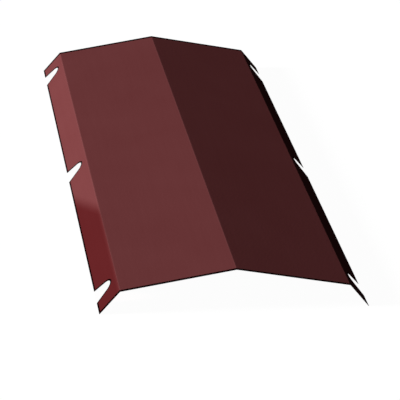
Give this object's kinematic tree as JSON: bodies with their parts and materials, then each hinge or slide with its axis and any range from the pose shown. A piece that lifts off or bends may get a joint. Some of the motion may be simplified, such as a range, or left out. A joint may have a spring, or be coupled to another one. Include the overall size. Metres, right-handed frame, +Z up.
{
  "type": "roof ridge cap",
  "caption": "Folded painted steel ridge cap with two shallow flanges and notched lips that sit over the seams of a standing seam roof.",
  "frame": {"origin": "on the floor below the middle of the ridge line, with the cap standing on the free edges of its lips", "axes": "+Y along the ridge line, +X across it towards the right lip, +Z up out of the ridge"},
  "size_m": [0.409, 1.067, 0.067],
  "materials": {
    "coated_steel": "satin"
  },
  "bodies": {
    "root": {"ridge_cap": "coated_steel"}
  },
  "joints": []
}
